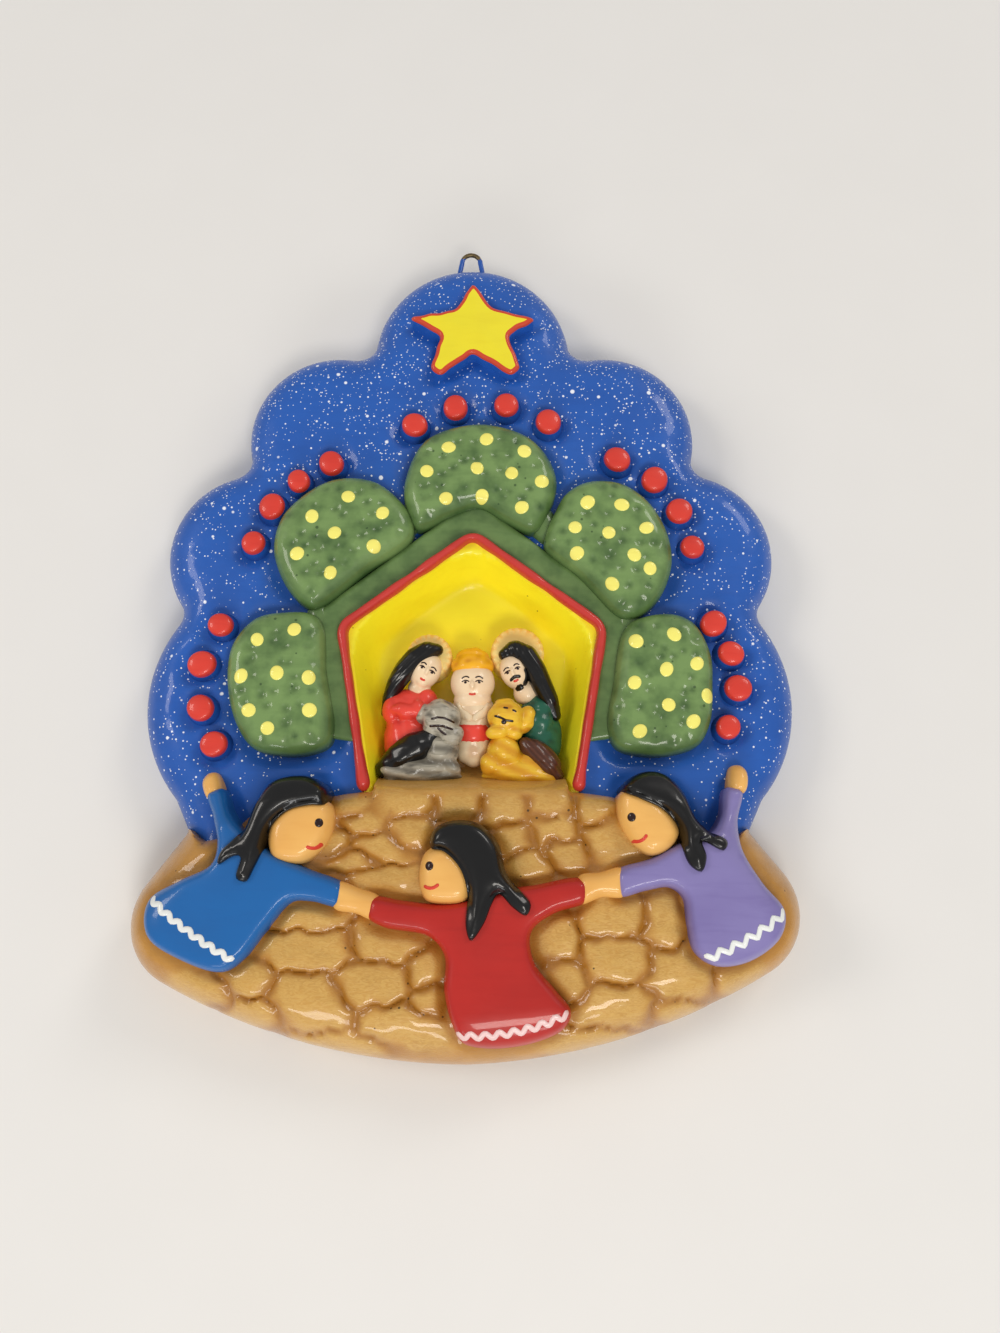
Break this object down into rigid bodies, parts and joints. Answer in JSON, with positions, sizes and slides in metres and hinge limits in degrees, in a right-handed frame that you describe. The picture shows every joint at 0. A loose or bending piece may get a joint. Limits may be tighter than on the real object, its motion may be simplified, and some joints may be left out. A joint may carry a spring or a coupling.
{
  "type": "hanging nativity ornament",
  "caption": "Painted clay relief ornament: night sky with a star, cactus pads with red fruit, a niche with small figures, and girls on a cobbled ground.",
  "frame": {"origin": "middle of the flat back, under the middle of the whole outline", "axes": "+Z out of the painted face, +Y towards the wire loop it hangs by, +X to the right as the face is seen"},
  "size_m": [0.0902, 0.1182, 0.0161],
  "materials": {
    "sky_blue": "gloss paint on fired clay, white spatter",
    "ground_ochre": "satin ochre wash on fired clay",
    "niche_yellow": "gloss paint on fired clay",
    "rim_red": "gloss paint on fired clay",
    "leaf_green": "gloss paint on fired clay",
    "fruit_red": "gloss paint on fired clay",
    "star_yellow": "gloss paint on fired clay",
    "dress_blue": "gloss paint on fired clay",
    "dress_red": "gloss paint on fired clay",
    "dress_violet": "gloss paint on fired clay",
    "skin_peach": "gloss paint on fired clay",
    "hair_black": "gloss paint on fired clay",
    "mother_coral": "gloss paint on fired clay",
    "father_green": "gloss paint on fired clay",
    "infant_cream": "gloss paint on fired clay",
    "donkey_grey": "gloss paint on fired clay",
    "ox_yellow": "gloss paint on fired clay",
    "wire": "tarnished drawn wire"
  },
  "bodies": {
    "root": {"sky_slab": "sky_blue", "ground_block": "ground_ochre", "stable_shell": "niche_yellow", "stable_rim": "rim_red", "leaf_band": "leaf_green", "pad_top": "leaf_green", "pad_upper_left": "leaf_green", "pad_upper_right": "leaf_green", "pad_left": "leaf_green", "pad_right": "leaf_green", "fruit_top_1": "fruit_red", "fruit_top_2": "fruit_red", "fruit_top_3": "fruit_red", "fruit_top_4": "fruit_red", "fruit_upper_left_1": "fruit_red", "fruit_upper_left_2": "fruit_red", "fruit_upper_left_3": "fruit_red", "fruit_upper_left_4": "fruit_red", "fruit_upper_right_1": "fruit_red", "fruit_upper_right_2": "fruit_red", "fruit_upper_right_3": "fruit_red", "fruit_upper_right_4": "fruit_red", "fruit_left_1": "fruit_red", "fruit_left_2": "fruit_red", "fruit_left_3": "fruit_red", "fruit_left_4": "fruit_red", "fruit_right_1": "fruit_red", "fruit_right_2": "fruit_red", "fruit_right_3": "fruit_red", "fruit_right_4": "fruit_red", "star": "star_yellow", "blue_girl_dress": "dress_blue", "blue_girl_face": "skin_peach", "blue_girl_hair": "hair_black", "red_girl_dress": "dress_red", "red_girl_face": "skin_peach", "red_girl_hair": "hair_black", "violet_girl_dress": "dress_violet", "violet_girl_face": "skin_peach", "violet_girl_hair": "hair_black", "blue_girl_raised_hand": "skin_peach", "violet_girl_raised_hand": "skin_peach", "clasped_hands_left": "skin_peach", "clasped_hands_right": "skin_peach", "mother_figure": "mother_coral", "infant_figure": "infant_cream", "father_figure": "father_green", "donkey_figure": "donkey_grey", "ox_figure": "ox_yellow", "hanging_loop": "wire"}
  },
  "joints": []
}
